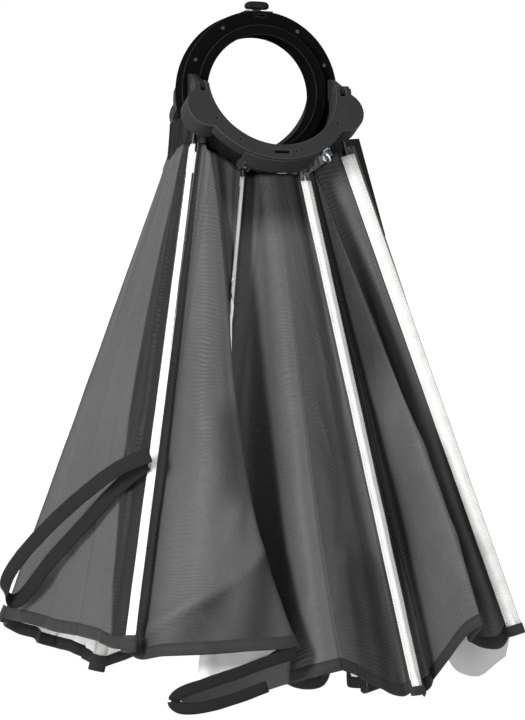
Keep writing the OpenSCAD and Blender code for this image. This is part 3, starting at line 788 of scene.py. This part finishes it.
nu, nv = 30, 20
FLAP_WIDE, FLAP_LONG = 0.115, 0.045
top = curve([(196, -150, -712), (225, -146, -716), (258, -130, -716), (292, -150, -712)], nu)
low = curve([(203, -150, -742), (228, -134, -762), (262, -120, -766), (299, -118, -742)], nu)
v = np.linspace(0, 1, nv)[None, :, None]
g = top[:, None] * (1 - v) + low[:, None] * v
g[:, :, 1] += 4 * np.sin(np.linspace(0, 9, nu))[:, None] * np.linspace(0.2, 1, nv)[None, :]
x, y = np.meshgrid(np.linspace(0, FLAP_WIDE, nu), np.linspace(0, FLAP_LONG, nv), indexing="ij")
flap_uv = np.stack([x, y], 2).reshape(-1, 2)
flap = build("inner_flap_cloth", g.reshape(-1, 3), grid_faces(nu, nv), [FLAP], flap_uv)
add_thickness(flap, 0.0005)
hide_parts("inner_flap")
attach(flap, "rib_4")

# ---------------------------------------------------------------- finishes of the CAD pieces that stay

PAINT = {
    "mount_ring": RING, "lamp_collar": RING, "ring_screws": SCREW,
    "hinge_arms": GREY, "front_hinge_pins": STEEL, "rear_hinge_pins": STEEL,
    "button_guide": GREY, "button_spring": SCREW, "lock_stem": SCREW, "cloth_clip": STEEL,
    "front_half_ring": HALF, "front_rim_block": HALF, "front_half_screws": SCREW, "front_rib_pins": SCREW,
    "rear_half_ring": HALF, "rear_rim_block": HALF, "rear_half_screws": SCREW, "rear_rib_pins": SCREW,
}
for k in PIVOT:
    PAINT[f"rib_rod_{k}"] = ROD
    PAINT[f"rib_cap_{k}"] = CAP
for name, mat in PAINT.items():
    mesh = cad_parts[name].data
    mesh.materials.clear()
    mesh.materials.append(mat)

# ---------------------------------------------------------------- lock button: a rounded, ridged thumb pad

KNOB_Y, KNOB_Z = 14, 108.5 + 4.2      # the top of the stem, which the pad stands 4.2 mm over
# as (height, half its width, half its depth), from the underside up over the ridges
KNOB_RINGS = (
    (0.1, 12.6, 6.0), (0, 14.2, 7.0), (0.6, 15.0, 7.6), (1.6, 15.9, 8.0), (2.6, 16.3, 8.2),
    (3.1, 16.4, 8.3), (3.4, 15.8, 7.9), (3.8, 15.8, 7.9), (4.1, 16.4, 8.3), (5.2, 16.3, 8.3),
    (5.5, 15.6, 7.8), (5.9, 15.5, 7.8), (6.2, 16.0, 8.1), (7.2, 15.2, 7.8), (7.5, 14.5, 7.2),
    (7.9, 14.2, 7.1), (8.2, 14.3, 7.3), (9.0, 12.8, 6.6), (9.6, 10.6, 5.4), (9.95, 7.0, 3.4),
    (10.05, 2.0, 1.0),
)
KNOB_SIDES = 64


def blunt(value, power):
    """A sine or cosine raised to a power, with its sign kept, for a rounded oblong."""
    return math.copysign(abs(value) ** power, value)


rings = []
for z, half_x, half_y in KNOB_RINGS:
    turns = [math.tau * i / KNOB_SIDES for i in range(KNOB_SIDES)]
    rings.append([(half_x * blunt(math.cos(a), 0.55), KNOB_Y + half_y * blunt(math.sin(a), 0.6), KNOB_Z + z)
                  for a in turns])
knob = loft("button_pad", rings, [CAP])
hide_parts("lock_button")
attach(knob, "lock")

# ---------------------------------------------------------------- floor, light and camera

bpy.ops.mesh.primitive_circle_add(vertices=96, radius=3.2, fill_type="NGON", location=(0, 0, -1.05))
floor = bpy.context.object
floor.name = "floor"
white = Mat("floor_white")
cloudy = white.noise(white.add("TexCoord").outputs["Object"], 30, 4)
rough = white.math("ADD", 0.6, white.math("MULTIPLY", cloudy, 0.2))
surface = white.add("BsdfPrincipled", {"Base Color": (0.86, 0.86, 0.86, 1), "Roughness": rough})
floor.data.materials.append(white.finish(surface.outputs[0]))

world = bpy.data.worlds.new("studio")
bpy.context.scene.world = world
world.use_nodes = True
background = world.node_tree.nodes["Background"].inputs
background["Color"].default_value = (1, 1, 1, 1)
background["Strength"].default_value = 1.02


def area_light(name, place, aim, size, power):
    """A rectangular lamp, in metres and watts."""
    data = bpy.data.lights.new(name, "AREA")
    data.shape = "RECTANGLE"
    data.size, data.size_y = size
    data.energy = power
    obj = bpy.data.objects.new(name, data)
    obj.location = place
    obj.rotation_euler = (Vector(aim) - Vector(place)).to_track_quat("-Z", "Y").to_euler()
    bpy.context.scene.collection.objects.link(obj)


area_light("key", (-2.9, -1.9, 0.5), (0, 0, -0.4), (0.6, 1.4), 250)
area_light("fill", (1.2, -3.4, 0.3), (0.1, 0, -0.4), (0.6, 1.2), 30)

# the camera stands 5 m from the ring's middle, to its left and beneath its level, and aims 35 cm under it
yaw, pitch, far = math.radians(19.4), math.radians(-6.9), 5.0
toward = Vector((-math.cos(pitch) * math.sin(yaw), -math.cos(pitch) * math.cos(yaw), math.sin(pitch)))
right = Vector((math.cos(yaw), -math.sin(yaw), 0))
up = right.cross(-toward)
aim = right * 0.0031 - up * 0.3539
cam = bpy.data.objects.new("camera", bpy.data.cameras.new("camera"))
bpy.context.scene.collection.objects.link(cam)
cam.location = toward * far
look = (aim - cam.location).normalized()
side = look.cross(up).normalized()
top_axis = side.cross(look)
cam.rotation_euler = Matrix((side, top_axis, -look)).transposed().to_euler()
cam.data.sensor_fit = "VERTICAL"
cam.data.sensor_height = 36
cam.data.lens = 188.88975
cam.data.clip_end = 60
bpy.context.scene.camera = cam
bpy.context.scene.view_settings.view_transform = "Standard"
